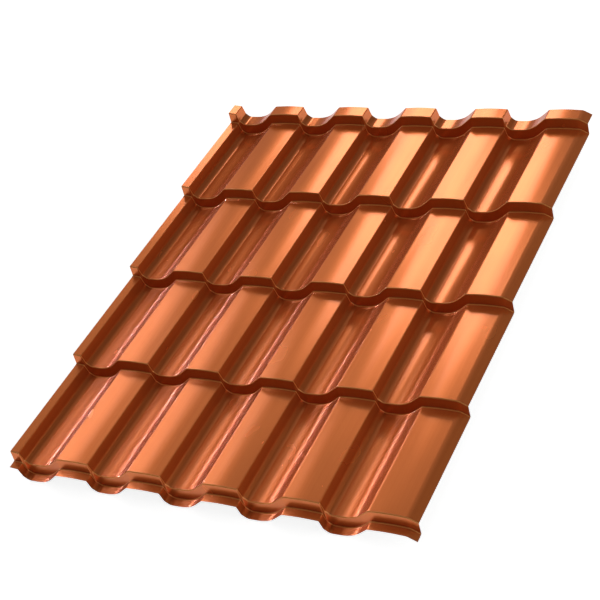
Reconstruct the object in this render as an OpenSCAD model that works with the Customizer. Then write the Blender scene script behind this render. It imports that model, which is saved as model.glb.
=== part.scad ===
// Metal roofing sheet: one piece of coated steel coil, rolled to broad crests with
// round valleys and pressed into steps, so that it looks like rows of roof tiles.
// +X runs across the waves, +Y runs up the roof and +Z is up.
// The sheet lies flat on the feet of its steps, with its bounding box centred on Z.

/* [Sheet] */
// Thickness of the coated steel
gauge = 0.5; // [0.4:0.05:1.2]
// Number of waves across the sheet
waves = 5; // [1:1:5]
// Number of whole tile rows
rows = 4; // [1:1:4]

/* [Wave section] */
// Distance from one crest to the next
pitch = 230; // [215:1:260]
// Width of a crest between its two edges
crest_w = 102; // [80:1:110]
// Rise in the middle of a crest
crown = 3; // [0.5:0.5:6]
// Depth from the crest edges to the valley floor
wave_depth = 44; // [34:1:52]
// How far the steep side leans out from crest edge to heel
side_lean = 3; // [1:0.5:8]
// Height of the heel, where the steep side turns towards the valley floor
heel_h = 14; // [11:0.5:18]
// Distance from the heel to the start of the valley floor
heel_run = 13; // [10:0.5:18]
// Slope of the side that climbs out of the valley, in degrees
climb_angle = 40; // [37:1:48]
// Bend radius at the crest edge above the steep side
brow_r = 3; // [1:0.5:6]
// Bend radius at the heel
heel_r = 12; // [6:1:18]
// Bend radius where the valley floor begins
floor_r = 16; // [8:1:30]
// Bend radius between the valley floor and the climbing side
climb_r = 60; // [30:5:80]
// Bend radius at the crest edge above the climbing side
shoulder_r = 12; // [2:1:16]

/* [Steps] */
// Length of a tile row from step to step
row_len = 350; // [300:5:400]
// Height of a step
step_h = 32; // [22:1:40]
// How far a step leans forward from its brow to its foot
step_lean = 6; // [3:0.5:12]
// Bend radius of a step's brow
step_brow_r = 2.5; // [2:0.5:10]
// Bend radius at a step's foot
step_foot_r = 2; // [1:0.5:4]
// Length of the level foot below a step, which bears on the batten
foot_len = 10; // [6:1:16]

/* [Edges] */
// Length of sheet above the top step
top_stub = 46; // [25:1:80]
// Length of sheet in front of the lowest step's foot
front_stub = 24; // [18:1:60]
// Width of the lip left of the first steep side
lip_w = 26; // [10:1:40]
// Rise of the lip over its width
lip_rise = 4; // [0.5:0.5:8]
// Width of the side lap beyond the last crest
lap_w = 24; // [22:1:40]
// Drop of the side lap over its width
lap_drop = 16; // [5:1:22]
// Bend radius between the last crest and the side lap
lap_r = 22; // [8:1:40]

/* [Hidden] */

valley_w = pitch - crest_w;
climb_run = wave_depth / tan(climb_angle);
crown_r = crest_w * crest_w / (8 * crown);
row_fall = step_h / (row_len - step_lean - foot_len);

function unit(v) = v / norm(v);

// One corner [a, b, radius, pieces] of an open outline, bent to an arc between its neighbours.
function bend(last, here, next) =
    let (
        corner = [here[0], here[1]],
        back = unit([last[0], last[1]] - corner),
        on = unit([next[0], next[1]] - corner),
        half = acos(back * on) / 2,
        centre = corner + unit(back + on) * here[2] / sin(half),
        start = corner + back * here[2] / tan(half) - centre,
        turn = (180 - 2 * half) * sign(back[1] * on[0] - back[0] * on[1])
    )
    [for (k = [0:here[3]]) let (a = turn * k / here[3]) centre
        + [start[0] * cos(a) - start[1] * sin(a), start[0] * sin(a) + start[1] * cos(a)]];

// An open outline whose corners are bent and whose two ends stay sharp.
function bent(c) = concat(
    [[c[0][0], c[0][1]]],
    [for (i = [1:len(c) - 2]) each c[i][2] > 0 ? bend(c[i - 1], c[i], c[i + 1]) : [[c[i][0], c[i][1]]]],
    [[c[len(c) - 1][0], c[len(c) - 1][1]]]
);

// At each point of an open outline: the unit tangent midway between the two runs that meet
// there, and how much further out the mitre of their offsets lies.
function mitres(c) = [for (i = [0:len(c) - 1]) let (
        back = i > 0 ? unit(c[i] - c[i - 1]) : unit(c[1] - c[0]),
        on = i < len(c) - 1 ? unit(c[i + 1] - c[i]) : back,
        mid = unit(back + on)
    ) [mid[0], mid[1], 1 / (mid * on)]];

// Corners of one wave, from the crest edge above its steep side to the middle of the next crest.
function wave(x) = [
    [x, 0, brow_r, 1],
    [x + side_lean, heel_h - wave_depth, heel_r, 2],
    [x + side_lean + heel_run, -wave_depth, floor_r, 2],
    [x + valley_w - climb_run, -wave_depth, climb_r, 3],
    [x + valley_w, 0, shoulder_r, 2],
    [x + valley_w + crest_w / 2, crown, crown_r, 2]
];

// Section across the sheet [x, z].
section = bent(concat(
    [[-lip_w, lip_rise]],
    [for (i = [0:waves - 1]) each wave(i * pitch)],
    [[waves * pitch, 0, lap_r, 3], [waves * pitch + lap_w, -lap_drop]]
));

// Corners of one step, from the end of its level foot up to its brow at y.
function step(y) = [
    [y - step_lean - foot_len, 0, 0],
    [y - step_lean, 0, step_foot_r, 1],
    [y, step_h, step_brow_r, 2]
];

// Run along the sheet [y, z], from the front edge to the top edge.
run = bent(concat(
    [[-step_lean - front_stub, (front_stub - foot_len) * row_fall]],
    [for (j = [0:rows]) each step(j * row_len)],
    [[rows * row_len + top_stub, step_h - top_stub * row_fall]]
));

across = mitres(section);
along = mitres(run);
nu = len(section);
nv = len(run);

// Upper skin: the section carried along the run. Lower skin: the same, one gauge further in.
upper = [for (v = [0:nv - 1]) for (u = [0:nu - 1])
    [section[u][0], run[v][0], section[u][1] + run[v][1]]];
lower = [for (v = [0:nv - 1]) for (u = [0:nu - 1]) let (s = across[u], r = along[v])
    upper[v * nu + u] - gauge * s[2] * r[2] * unit([-s[1] * r[0], -s[0] * r[1], s[0] * r[0]])];
skins = concat(upper, lower);

// One face of the cut edge between the two skins, from point a to point b.
function edge(a, b) = [a, b, b + nu * nv, a + nu * nv];

faces = concat(
    [for (v = [0:nv - 2]) for (u = [0:nu - 2]) let (a = v * nu + u) each [
        [a, a + nu, a + nu + 1, a + 1],
        [for (p = [a, a + 1, a + nu + 1, a + nu]) p + nu * nv]
    ]],
    [for (u = [0:nu - 2]) each [edge(u, u + 1), edge((nv - 1) * nu + u + 1, (nv - 1) * nu + u)]],
    [for (v = [0:nv - 2]) each [edge((v + 1) * nu, v * nu), edge(v * nu + nu - 1, (v + 2) * nu - 1)]]
);

low = [for (k = [0:2]) min([for (p = skins) p[k]])];
high = [for (k = [0:2]) max([for (p = skins) p[k]])];

module sheet() {
    color("sienna")
        translate([-(low[0] + high[0]) / 2, -(low[1] + high[1]) / 2, -low[2]])
            polyhedron(skins, faces, convexity = 12);
}

sheet();
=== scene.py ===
"""Metal roofing sheet: one piece of coated steel, rolled to waves and pressed into steps.

+X runs across the waves, +Y runs up the roof and +Z is up. The sheet lies flat on the
feet of its steps. Sizes of the sheet and its patterns are in millimetres and become
metres where a mesh or a material is made. The studio is in metres and degrees.
"""

import math

import bpy
import numpy as np
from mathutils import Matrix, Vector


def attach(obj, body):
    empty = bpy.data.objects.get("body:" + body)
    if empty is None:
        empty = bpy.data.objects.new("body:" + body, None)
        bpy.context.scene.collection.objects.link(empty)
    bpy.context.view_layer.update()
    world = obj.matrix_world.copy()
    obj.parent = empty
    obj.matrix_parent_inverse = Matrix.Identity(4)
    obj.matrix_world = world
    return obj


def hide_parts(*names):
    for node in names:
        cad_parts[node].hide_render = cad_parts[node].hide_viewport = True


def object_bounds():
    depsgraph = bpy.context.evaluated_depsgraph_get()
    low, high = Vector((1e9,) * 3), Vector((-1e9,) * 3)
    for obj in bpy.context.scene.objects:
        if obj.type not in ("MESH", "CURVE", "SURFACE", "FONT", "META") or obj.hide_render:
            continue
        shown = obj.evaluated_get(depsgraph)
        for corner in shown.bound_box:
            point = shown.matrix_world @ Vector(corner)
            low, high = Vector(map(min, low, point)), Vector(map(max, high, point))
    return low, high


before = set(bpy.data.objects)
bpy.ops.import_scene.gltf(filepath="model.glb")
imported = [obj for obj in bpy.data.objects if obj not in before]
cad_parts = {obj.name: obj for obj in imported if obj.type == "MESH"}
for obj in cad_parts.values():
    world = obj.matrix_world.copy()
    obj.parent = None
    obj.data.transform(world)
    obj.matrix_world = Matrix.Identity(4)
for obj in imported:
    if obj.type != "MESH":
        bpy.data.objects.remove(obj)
cad_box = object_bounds()

MM = 0.001

# ---------------------------------------------------------------- sizes of the sheet, mm

GAUGE = 0.5
WAVES, ROWS = 5, 4

PITCH = 230.0
CREST_W = 102.0
CROWN = 3.0
WAVE_DEPTH = 44.0
SIDE_LEAN = 3.0
HEEL_H = 14.0
HEEL_RUN = 13.0
CLIMB_ANGLE = math.radians(40.0)
BROW_R = 3.0
HEEL_R = 12.0
FLOOR_R = 16.0
CLIMB_R = 90.0  # easier than the plain solid's 60 mm, as rolled sheet bends
SHOULDER_R = 12.0

ROW_LEN = 350.0
STEP_H = 32.0
STEP_LEAN = 6.0
STEP_BROW_R = 2.5
STEP_FOOT_R = 2.0
FOOT_LEN = 10.0
FOOT_BEND_R = 20.0  # easy bend where a row runs out into its level foot

TOP_STUB = 46.0
FRONT_STUB = 24.0
LIP_W, LIP_RISE = 26.0, 4.0
LAP_W, LAP_DROP, LAP_R = 24.0, 16.0, 22.0

ARC_PIECES = 6  # straight pieces that make up each bend
HOLD = 0.8  # distance from a bend to the point that keeps the run beside it flat

VALLEY_W = PITCH - CREST_W
CLIMB_RUN = WAVE_DEPTH / math.tan(CLIMB_ANGLE)
CROWN_R = CREST_W ** 2 / (8 * CROWN)
ROW_FALL = STEP_H / (ROW_LEN - STEP_LEAN - FOOT_LEN)

# ---------------------------------------------------------------- outlines


def unit(vectors):
    """Vectors made one long, each along the array's last axis."""
    return vectors / np.linalg.norm(vectors, axis=-1, keepdims=True)


def bent(first, corners, last):
    """An open outline from first to last whose corners [a, b, radius] are rounded.

    A corner's arc touches the straight runs to both its neighbours. With half the angle
    between the runs called h, the arc's centre lies radius / sin(h) from the corner along
    their bisector, and its points turn round the centre in equal steps from the one
    touching point to the other. A point one HOLD further out on each straight run keeps
    the shading of the bend out of the flat beside it.
    """
    corners = np.array(corners, float)
    here, radius = corners[:, :2], corners[:, 2]
    points = np.vstack([first, here, last])
    back, onward = unit(points[:-2] - here), unit(points[2:] - here)
    half = np.arccos(np.clip((back * onward).sum(1), -1, 1)) / 2
    centre = here + unit(back + onward) * (radius / np.sin(half))[:, None]
    start = here + back * (radius / np.tan(half))[:, None] - centre
    sense = np.sign(back[:, 1] * onward[:, 0] - back[:, 0] * onward[:, 1])
    turn = ((np.pi - 2 * half) * sense)[:, None] * np.linspace(0, 1, ARC_PIECES + 1)
    arc = np.stack([
        centre[:, :1] + start[:, :1] * np.cos(turn) - start[:, 1:] * np.sin(turn),
        centre[:, 1:] + start[:, :1] * np.sin(turn) + start[:, 1:] * np.cos(turn),
    ], axis=2)
    held = [arc[:, :1] + back[:, None] * HOLD, arc, arc[:, -1:] + onward[:, None] * HOLD]
    return np.vstack([first, np.concatenate(held, axis=1).reshape(-1, 2), last])


def wave(x):
    """Corners of one wave: brow, heel, valley floor, foot of the climb, shoulder, crown."""
    return [
        [x, 0, BROW_R],
        [x + SIDE_LEAN, HEEL_H - WAVE_DEPTH, HEEL_R],
        [x + SIDE_LEAN + HEEL_RUN, -WAVE_DEPTH, FLOOR_R],
        [x + VALLEY_W - CLIMB_RUN, -WAVE_DEPTH, CLIMB_R],
        [x + VALLEY_W, 0, SHOULDER_R],
        [x + VALLEY_W + CREST_W / 2, CROWN, CROWN_R],
    ]


def step(y):
    """Corners of one step: end of the row, foot, brow."""
    return [
        [y - STEP_LEAN - FOOT_LEN, 0, FOOT_BEND_R],
        [y - STEP_LEAN, 0, STEP_FOOT_R],
        [y, STEP_H, STEP_BROW_R],
    ]


def wave_section():
    """Section across the sheet [x, z]: left lip, the waves, the side lap."""
    corners = [corner for i in range(WAVES) for corner in wave(i * PITCH)]
    corners.append([WAVES * PITCH, 0, LAP_R])
    return bent([-LIP_W, LIP_RISE], corners, [WAVES * PITCH + LAP_W, -LAP_DROP])


def step_run():
    """Run up the sheet [y, z]: front edge, a foot, riser and brow for each step, top edge."""
    corners = [corner for j in range(ROWS + 1) for corner in step(j * ROW_LEN)]
    front = [-STEP_LEAN - FRONT_STUB, (FRONT_STUB - FOOT_LEN) * ROW_FALL]
    top = [ROWS * ROW_LEN + TOP_STUB, STEP_H - TOP_STUB * ROW_FALL]
    return bent(front, corners, top)


def mitres(outline):
    """Unit tangent at each point, midway between the two runs that meet there, and the
    factor 1 / cos(half the turn) by which the mitre of their offsets lies further out."""
    runs = unit(np.diff(outline, axis=0))
    back = np.vstack([runs[:1], runs])
    onward = np.vstack([runs, runs[-1:]])
    middle = unit(back + onward)
    return middle, 1 / (middle * onward).sum(1)


def arc_length(outline):
    """Distance of each point from the outline's start, measured along it."""
    pieces = np.linalg.norm(np.diff(outline, axis=0), axis=1)
    return np.concatenate([[0], np.cumsum(pieces)])


section, run = wave_section(), step_run()

# ---------------------------------------------------------------- the sheet


def sheet_skins():
    """Points of the upper and the lower skin, each [run, section, xyz].

    Upper skin: x from the section, y from the run, z the sum of both heights. Lower skin:
    the same point moved inwards by the gauge along the surface's normal, times the
    section's and the run's mitre factors, so that the wall keeps its gauge.
    """
    across, across_mitre = mitres(section)
    along, along_mitre = mitres(run)
    upper = np.empty((len(run), len(section), 3))
    upper[..., 0] = section[None, :, 0]
    upper[..., 1] = run[:, None, 0]
    upper[..., 2] = section[None, :, 1] + run[:, None, 1]
    inward = np.empty_like(upper)
    inward[..., 0] = across[None, :, 1] * along[:, None, 0]
    inward[..., 1] = across[None, :, 0] * along[:, None, 1]
    inward[..., 2] = -across[None, :, 0] * along[:, None, 0]
    wall = GAUGE * across_mitre[None, :, None] * along_mitre[:, None, None]
    return upper, upper + unit(inward) * wall


def grid_faces(rows, columns, start, flip):
    """Quads between neighbouring points of a grid whose first point has index start."""
    a = (np.arange(rows - 1)[:, None] * columns + np.arange(columns - 1) + start).ravel()
    quads = np.stack([a, a + 1, a + columns + 1, a + columns], axis=1)
    return quads[:, ::-1] if flip else quads


def edge_faces(rim, offset):
    """Quads of the cut edge from each pair of neighbours in a rim of the upper skin down to
    the same pair of the lower skin."""
    a, b = rim[:-1], rim[1:]
    return np.stack([a, a + offset, b + offset, b], axis=1)


def make_sheet(name, finishes):
    """The sheet as one closed mesh: upper skin, lower skin and the cut edge round both.

    Its three finishes are given in that order. The map "lay" gives each point the distance
    in metres across the flat coil and along it, so that a pattern follows the surface
    through the bends.
    """
    upper, lower = sheet_skins()
    rows, columns = upper.shape[:2]
    count = rows * columns
    points = np.concatenate([upper.reshape(-1, 3), lower.reshape(-1, 3)])
    points = (points - points.min(0)) * MM + np.array(cad_box[0])

    index = np.arange(count).reshape(rows, columns)
    rim = np.concatenate([
        index[0, :], index[1:, -1], index[-1, -2::-1], index[-2::-1, 0]])
    parts = [
        grid_faces(rows, columns, 0, False),
        grid_faces(rows, columns, count, True),
        edge_faces(rim, count),
    ]
    faces = np.concatenate(parts)
    finish = np.repeat(np.arange(len(parts)), [len(part) for part in parts])
    on_skin = finish < len(parts) - 1

    mesh = bpy.data.meshes.new(name)
    mesh.from_pydata(points, [], faces.tolist())
    mesh.polygons.foreach_set("material_index", finish.astype(np.int32))
    mesh.polygons.foreach_set("use_smooth", on_skin)

    lay = np.empty((rows, columns, 2))
    lay[..., 0] = arc_length(section)[None, :] * MM
    lay[..., 1] = arc_length(run)[:, None] * MM
    lay = np.concatenate([lay.reshape(-1, 2)] * 2)
    mesh.uv_layers.new(name="lay").data.foreach_set(
        "uv", lay[faces.ravel()].astype(np.float32).ravel())

    for material in finishes:
        mesh.materials.append(material)
    mesh.update()

    on_rim = np.zeros(2 * count, bool)
    on_rim[rim] = on_rim[rim + count] = True
    ends = np.empty(2 * len(mesh.edges), np.int32)
    mesh.edges.foreach_get("vertices", ends)
    mesh.edges.foreach_set("use_edge_sharp", on_rim[ends].reshape(-1, 2).all(1))
    sheet = bpy.data.objects.new(name, mesh)
    bpy.context.scene.collection.objects.link(sheet)
    return sheet


# ---------------------------------------------------------------- nodes

RANGE = ("From Min", "From Max", "To Min", "To Max")  # sockets of a Map Range node
FACTOR, A, B, RESULT = 0, 6, 7, 2  # sockets of a Mix node that mixes colours


def srgb(code):
    """An sRGB hex colour as the linear RGBA that a shader takes."""
    part = np.array([int(code[i:i + 2], 16) for i in (1, 3, 5)]) / 255
    part = np.where(part <= 0.04045, part / 12.92, ((part + 0.055) / 1.055) ** 2.4)
    return (*part.tolist(), 1.0)


def add(tree, kind, settings=None, links=None):
    """Adds a shader node. Settings in lower case are the node's own options, the others are
    plain values of its sockets; links name the sockets that other nodes feed."""
    node = tree.nodes.new("ShaderNode" + kind)
    for name, value in (settings or {}).items():
        if isinstance(name, str) and name[0].islower():
            setattr(node, name, value)
        else:
            node.inputs[name].default_value = value
    for name, socket in (links or {}).items():
        tree.links.new(socket, node.inputs[name])
    return node


def new_material(name):
    """An empty node material and its tree."""
    material = bpy.data.materials.new(name)
    material.use_nodes = True
    material.node_tree.nodes.clear()
    return material, material.node_tree


def grain(tree, place, sizes, detail=2.0):
    """Cloudy noise from 0 to 1 whose grains measure the given sizes, in mm, along the axes
    of the place that it is laid on. Its values crowd round 0.5, so what reads it stretches
    their middle with a Map Range."""
    scale = np.ones(3)
    scale[:len(sizes)] = 1 / (np.array(sizes) * MM)
    laid = add(tree, "Mapping", {"Scale": scale}, {"Vector": place})
    return add(tree, "TexNoise", {"Scale": 1.0, "Detail": detail},
               {"Vector": laid.outputs["Vector"]}).outputs["Fac"]


# ---------------------------------------------------------------- copper-metallic topcoat

# The third colour is the pale tint along the brows and feet of the steps. It is partly the stretched
# coat's paleness and partly a painted highlight on those bends.
COPPER, COPPER_DEEP, COPPER_STRAIN_HIGHLIGHT = "#EA7F3C", "#E07436", "#E8A860"
STREAK_TINT = "#FAF6F3"
FLOP = "#B8866E"  # flakes send less light on at a grazing angle
METALLIC, METALLIC_STRAINED = 0.6, 0.4  # share of the surface that acts as metal flakes
ROUGHNESS, ROUGHNESS_SPREAD, STRAIN_DULLING = 0.26, 0.03, 0.25
COAT, COAT_ROUGHNESS, COAT_IOR = 0.35, 0.15, 1.5

# Grains of the patterns, in mm across and along the coil. Real flakes are under 0.1 mm;
# these are coarser, so that the speckle shows at all.
FLAKES = (1.2, 1.2)
ROLLER_STREAKS = (6.0, 800.0)
FLAKE_CLOUDS = (90.0, 160.0)
ORANGE_PEEL = (6.0, 6.0)
PEEL_HEIGHT, PEEL_STRENGTH = 0.002, 0.5  # height in mm

STRAIN_AND_HIGHLIGHT = 0.7  # share of the stretched coat's dullness and of the pale tint on its lines, which is partly a painted highlight
STRAIN_HIGHLIGHT_HALF, STRAIN_HIGHLIGHT_CORE = 2.2, 0.88  # half widths of a stretched line with its painted highlight, and of its middle, mm


def bend_middle(corner):
    """Distance along the flat coil, in metres, to the middle of the run's nth bend.

    A bend has ARC_PIECES + 1 points and a holding point before and after it. The front
    edge is one point more, before them all.
    """
    arc_start = 2 + (ARC_PIECES + 3) * corner
    return float(arc_length(run)[arc_start + ARC_PIECES // 2]) * MM


FOOT_CORNER, BROW_CORNER, NEXT_BROW_CORNER = 1, 2, 5
FOOT_LINE, BROW_LINE = bend_middle(FOOT_CORNER), bend_middle(BROW_CORNER)
ROW_SKIN = bend_middle(NEXT_BROW_CORNER) - BROW_LINE  # surface length from brow to brow


def strain_and_highlight_lines(tree, lay):
    """The mask of the stretched coat and its painted highlight: its full share along the middle of
    the pressed brows and feet, falling to 0 beside them.

    The distance along the coil from a line is wrapped to one row, so that one line stands
    for all rows.
    """
    along = add(tree, "SeparateXYZ", links={0: lay}).outputs["Y"]
    fade = dict(zip(RANGE, (STRAIN_HIGHLIGHT_CORE * MM, STRAIN_HIGHLIGHT_HALF * MM, 1.0, 0.0)))
    lines = []
    for line in (BROW_LINE, FOOT_LINE):
        away = add(tree, "Math", {"operation": "SUBTRACT", 1: line}, {0: along}).outputs[0]
        away = add(tree, "Math", {"operation": "WRAP", 1: ROW_SKIN / 2, 2: -ROW_SKIN / 2},
                   {0: away}).outputs[0]
        away = add(tree, "Math", {"operation": "ABSOLUTE"}, {0: away}).outputs[0]
        lines.append(add(tree, "MapRange", fade, {"Value": away}).outputs["Result"])
    either = add(tree, "Math", {"operation": "MAXIMUM"}, {0: lines[0], 1: lines[1]}).outputs[0]
    return add(tree, "Math", {"operation": "MULTIPLY", 1: STRAIN_AND_HIGHLIGHT}, {0: either}).outputs[0]


def copper_metallic_topcoat():
    """Coil coating: copper-tinted metal flakes in a baked satin binder with a clear skin.

    Colour: fine flake speckle and faint roller streaks along the coil. The coat is
    stretched thin along the pressed brows and feet of the steps, where it is duller and
    paler; the pale tint there is partly a painted highlight on those bends. The flakes darken
    towards a grazing angle. Roughness: satin, uneven with the flakes' lie. Bump: the coat's slight
    orange peel.
    """
    material, tree = new_material("copper_metallic_topcoat")
    lay = add(tree, "UVMap", {"uv_map": "lay"}).outputs["UV"]
    strain_and_highlight = strain_and_highlight_lines(tree, lay)

    speckle = add(tree, "MapRange", dict(zip(RANGE, (0.3, 0.7, 0.2, 1.0))),
                  {"Value": grain(tree, lay, FLAKES, 3.0)})
    streaks = add(tree, "MapRange", dict(zip(RANGE, (0.35, 0.65, 0.0, 1.0))),
                  {"Value": grain(tree, lay, ROLLER_STREAKS)})
    tint = add(tree, "Mix", {"data_type": "RGBA", A: srgb(COPPER_DEEP), B: srgb(COPPER)},
               {FACTOR: speckle.outputs["Result"]})
    tint = add(tree, "Mix",
               {"data_type": "RGBA", "blend_type": "MULTIPLY", B: srgb(STREAK_TINT)},
               {FACTOR: streaks.outputs["Result"], A: tint.outputs[RESULT]})
    # Pale tint along the brows and feet: partly the stretched coat, partly a painted highlight on
    # those bends.
    tint = add(tree, "Mix", {"data_type": "RGBA", B: srgb(COPPER_STRAIN_HIGHLIGHT)},
               {FACTOR: strain_and_highlight, A: tint.outputs[RESULT]})

    least, most = ROUGHNESS - ROUGHNESS_SPREAD, ROUGHNESS + ROUGHNESS_SPREAD
    uneven = add(tree, "MapRange", dict(zip(RANGE, (0.1, 0.9, least, most))),
                 {"Value": grain(tree, lay, FLAKE_CLOUDS)})
    dull = add(tree, "Math", {"operation": "MULTIPLY_ADD", 1: STRAIN_DULLING},
               {0: strain_and_highlight, 2: uneven.outputs["Result"]})
    flakes = add(tree, "MapRange", dict(zip(RANGE, (0.0, 1.0, METALLIC, METALLIC_STRAINED))),
                 {"Value": strain_and_highlight})
    peel = add(tree, "Bump", {"Strength": PEEL_STRENGTH, "Distance": PEEL_HEIGHT * MM},
               {"Height": grain(tree, lay, ORANGE_PEEL, 1.0)})

    shader = add(tree, "BsdfPrincipled", {
        "Coat Weight": COAT, "Coat Roughness": COAT_ROUGHNESS, "Coat IOR": COAT_IOR,
        "Specular Tint": srgb(FLOP)},
        {"Base Color": tint.outputs[RESULT], "Metallic": flakes.outputs["Result"],
         "Roughness": dull.outputs[0], "Normal": peel.outputs["Normal"]})
    add(tree, "OutputMaterial", links={"Surface": shader.outputs[0]})
    return material


# ---------------------------------------------------------------- grey backing lacquer

LACQUER, LACQUER_PALE, ZINC_THROUGH = "#9C9B96", "#BBB9B2", "#A9ADB0"
ZINC_SHARE = 0.6  # how far the zinc shows where the lacquer is thinnest
LACQUER_IOR = 1.5
LACQUER_ROUGH, LACQUER_SMOOTH = 0.62, 0.48

BACKING_STREAKS = (4.0, 500.0)  # mm across and along the coil
BACKING_CLOUDS = (50.0, 80.0)
ROLLER_HEIGHT, ROLLER_STRENGTH = 0.005, 0.4  # height in mm


def grey_backing_lacquer():
    """Backing coat of the coil: a thin grey epoxy lacquer, matt, rolled on in one pass.

    Colour: two greys in roller streaks, cloudy where the zinc shows through the thin coat.
    Roughness: duller where the coat is thicker. Bump: fine roller texture.
    """
    material, tree = new_material("grey_backing_lacquer")
    lay = add(tree, "UVMap", {"uv_map": "lay"}).outputs["UV"]
    rolled = grain(tree, lay, BACKING_STREAKS)
    clouds = grain(tree, lay, BACKING_CLOUDS, 4.0)
    streaks = add(tree, "MapRange", dict(zip(RANGE, (0.3, 0.7, 0.0, 1.0))), {"Value": rolled})
    thin = add(tree, "MapRange", dict(zip(RANGE, (0.35, 0.7, 0.0, ZINC_SHARE))),
               {"Value": clouds})
    gloss = add(tree, "MapRange",
                dict(zip(RANGE, (0.3, 0.7, LACQUER_ROUGH, LACQUER_SMOOTH))),
                {"Value": clouds})
    tint = add(tree, "Mix", {"data_type": "RGBA", A: srgb(LACQUER), B: srgb(LACQUER_PALE)},
               {FACTOR: streaks.outputs["Result"]})
    tint = add(tree, "Mix", {"data_type": "RGBA", B: srgb(ZINC_THROUGH)},
               {FACTOR: thin.outputs["Result"], A: tint.outputs[RESULT]})
    texture = add(tree, "Bump",
                  {"Strength": ROLLER_STRENGTH, "Distance": ROLLER_HEIGHT * MM},
                  {"Height": rolled})
    shader = add(tree, "BsdfPrincipled", {"IOR": LACQUER_IOR}, {
        "Base Color": tint.outputs[RESULT], "Roughness": gloss.outputs["Result"],
        "Normal": texture.outputs["Normal"]})
    add(tree, "OutputMaterial", links={"Surface": shader.outputs[0]})
    return material


# ---------------------------------------------------------------- cut edge

TORN_STEEL, DRAGGED_ZINC = "#8A8B8C", "#C9CACA"
TORN_ROUGH, BURNISHED_ROUGH = 0.6, 0.35
SHEAR_BANDS = (1.1, 1.1, 3.3)  # mm along X, Y and Z


def sheared_galvanised_steel():
    """Cut edge: bright steel with zinc dragged over it by the shear.

    Colour: zinc grey and darker torn steel in short bands across the gauge. Roughness:
    burnished where the blade rubbed, rough where the steel tore.
    """
    material, tree = new_material("sheared_galvanised_steel")
    bands = grain(tree, add(tree, "TexCoord").outputs["Object"], SHEAR_BANDS)
    zinc = add(tree, "MapRange", dict(zip(RANGE, (0.35, 0.65, 0.0, 1.0))), {"Value": bands})
    rough = add(tree, "MapRange",
                dict(zip(RANGE, (0.35, 0.65, TORN_ROUGH, BURNISHED_ROUGH))),
                {"Value": bands})
    tint = add(tree, "Mix", {"data_type": "RGBA", A: srgb(TORN_STEEL), B: srgb(DRAGGED_ZINC)},
               {FACTOR: zinc.outputs["Result"]})
    shader = add(tree, "BsdfPrincipled", {"Metallic": 1.0}, {
        "Base Color": tint.outputs[RESULT], "Roughness": rough.outputs["Result"]})
    add(tree, "OutputMaterial", links={"Surface": shader.outputs[0]})
    return material


# ---------------------------------------------------------------- camera, metres and degrees

LENS, SENSOR = 87.03, 36.0  # mm
CAMERA_AZIMUTH, CAMERA_ELEVATION, CAMERA_ROLL = 40.638, 40.834, 24.316
CAMERA_TARGET = np.array([-0.0168, -0.0458, 0.04])
CAMERA_DISTANCE = 4.0018
NEAREST, FARTHEST = 0.1, 100.0


def stand(thing, right, top, back, place):
    """Links an object to the scene at a place, its own X, Y and Z along three directions.
    A matrix given as a plain list is read column by column."""
    bpy.context.scene.collection.objects.link(thing)
    thing.matrix_world = [[*right, 0], [*top, 0], [*back, 0], [*place, 1]]


def make_camera():
    """Looks at the target from the azimuth and elevation, rolled about its own axis."""
    turn, rise, roll = np.radians([CAMERA_AZIMUTH, CAMERA_ELEVATION, CAMERA_ROLL])
    back = np.array([
        math.sin(turn) * math.cos(rise), -math.cos(turn) * math.cos(rise), math.sin(rise)])
    level = np.array([math.cos(turn), math.sin(turn), 0])
    above = np.cross(back, level)
    data = bpy.data.cameras.new("camera")
    data.lens, data.sensor_width = LENS, SENSOR
    data.clip_start, data.clip_end = NEAREST, FARTHEST
    camera = bpy.data.objects.new("camera", data)
    stand(camera, level * math.cos(roll) - above * math.sin(roll),
          above * math.cos(roll) + level * math.sin(roll), back,
          CAMERA_TARGET + back * CAMERA_DISTANCE)
    bpy.context.scene.camera = camera


# ---------------------------------------------------------------- lamps


def direction(azimuth, elevation):
    """Unit vector towards a compass direction, from +Y round towards -X, and a height."""
    turn, rise = math.radians(azimuth), math.radians(elevation)
    return np.array([
        -math.sin(turn) * math.cos(rise), math.cos(turn) * math.cos(rise), math.sin(rise)])


def hang(lamp, azimuth, elevation, distance):
    """Places a lamp at a distance in a direction, level and facing the sheet."""
    back = direction(azimuth, elevation)
    level = unit(np.cross([0, 0, 1.0], back))
    stand(lamp, level, np.cross(back, level), back, back * distance)


def softbox(name, azimuth, elevation, distance, width, height, radiance):
    """A rectangular lamp that faces the sheet. Its power is 4 x area x radiance, so that a
    mirror would show it as a panel of that radiance."""
    data = bpy.data.lights.new(name, "AREA")
    data.shape = "RECTANGLE"
    data.size, data.size_y = width, height
    data.energy = 4 * width * height * radiance
    lamp = bpy.data.objects.new(name, data)
    lamp.visible_camera = False
    hang(lamp, azimuth, elevation, distance)


def even_glow(name, azimuth, elevation, angle, radiance):
    """A far round lamp without shadows, whose highlight every bend and valley floor that
    faces it shows. Its strength is pi x sin(half its angle) squared x radiance."""
    data = bpy.data.lights.new(name, "SUN")
    data.angle = math.radians(angle)
    data.energy = radiance * math.pi * math.sin(data.angle / 2) ** 2
    data.use_shadow = False
    data.cycles.use_multiple_importance_sampling = False
    hang(bpy.data.objects.new(name, data), azimuth, elevation, 0.0)


# ---------------------------------------------------------------- floor and fill light

FLOOR_SIDE = 40.0
FLOOR_DROP = 0.0005  # keeps the floor out of the plane of the sheet's feet
FLOOR_WHITE, GLOW_WHITE = "#F4F4F4", "#FFFFFF"
FLOOR_LIFT = 0.78  # strength of the floor's own glow, which the lamps' light brings up to white

FILL_FRONT, FILL_BACK = 0.05, 0.36
FILL_AZIMUTH, FILL_ELEVATION = 50, 20
FILL_START, FILL_FULL = -0.1, 0.8  # cosines of the angle from the fill's direction


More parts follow.
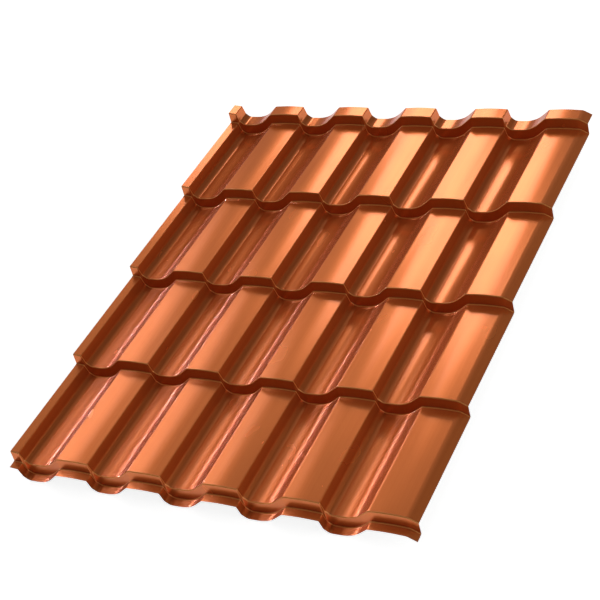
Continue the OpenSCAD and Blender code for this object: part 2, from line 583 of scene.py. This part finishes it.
def make_floor():
    """A wide matt white floor. To the camera and in reflections it glows as well, so that it
    is white there; the lamps' own light on it still holds the sheet's shadow."""
    material, tree = new_material("white_studio_floor")
    ray = add(tree, "LightPath").outputs
    seen = add(tree, "Math", {"operation": "MAXIMUM"},
               {0: ray["Is Camera Ray"], 1: ray["Is Glossy Ray"]})
    seen = add(tree, "Math", {"operation": "MAXIMUM"},
               {0: seen.outputs[0], 1: ray["Is Transmission Ray"]})
    lift = add(tree, "Math", {"operation": "MULTIPLY", 1: FLOOR_LIFT}, {0: seen.outputs[0]})
    glow = add(tree, "Emission", {"Color": srgb(GLOW_WHITE)}, {"Strength": lift.outputs[0]})
    matt = add(tree, "BsdfDiffuse", {"Color": srgb(FLOOR_WHITE)})
    both = add(tree, "AddShader", links={0: matt.outputs[0], 1: glow.outputs[0]})
    add(tree, "OutputMaterial", links={"Surface": both.outputs[0]})

    half, z = FLOOR_SIDE / 2, -FLOOR_DROP
    corners = [(-half, -half, z), (half, -half, z), (half, half, z), (-half, half, z)]
    mesh = bpy.data.meshes.new("floor")
    mesh.from_pydata(corners, [], [(0, 1, 2, 3)])
    mesh.materials.append(material)
    floor = bpy.data.objects.new("floor", mesh)
    bpy.context.scene.collection.objects.link(floor)


def make_world():
    """Dim even light that rises smoothly from the front of the room to the back left."""
    world = bpy.data.worlds.new("studio")
    bpy.context.scene.world = world
    world.use_nodes = True
    tree = world.node_tree
    tree.nodes.clear()
    where = add(tree, "TexCoord")
    towards = add(tree, "VectorMath", {
        "operation": "DOT_PRODUCT", 1: direction(FILL_AZIMUTH, FILL_ELEVATION)},
        {0: where.outputs["Generated"]})
    rise = add(tree, "MapRange", {
        "interpolation_type": "SMOOTHSTEP",
        **dict(zip(RANGE, (FILL_START, FILL_FULL, FILL_FRONT, FILL_BACK)))},
        {"Value": towards.outputs["Value"]})
    sky = add(tree, "Background", {"Color": srgb(GLOW_WHITE)}, {"Strength": rise.outputs[0]})
    add(tree, "OutputWorld", links={"Surface": sky.outputs[0]})


# ---------------------------------------------------------------- the object in its studio

sheet = make_sheet("roofing_sheet", [
    copper_metallic_topcoat(), grey_backing_lacquer(), sheared_galvanised_steel()])
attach(sheet, "root")
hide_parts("sheet")

make_camera()
softbox("back_panel", azimuth=24, elevation=28, distance=8.0, width=1.7, height=2.9, radiance=3.5)
softbox("left_panel", azimuth=55, elevation=27, distance=8.0, width=3.3, height=3.2, radiance=0.9)
softbox("right_panel", azimuth=-89, elevation=18, distance=6.0, width=4.8, height=3.8, radiance=1.45)
softbox("front_panel", azimuth=-173, elevation=42, distance=6.0, width=2.6, height=2.2, radiance=0.4)
even_glow("low_left_glow", azimuth=61, elevation=0, angle=20, radiance=2.8)
even_glow("left_glow", azimuth=57, elevation=30, angle=26, radiance=0.8)
make_floor()
make_world()

bpy.context.scene.view_settings.view_transform = "Standard"
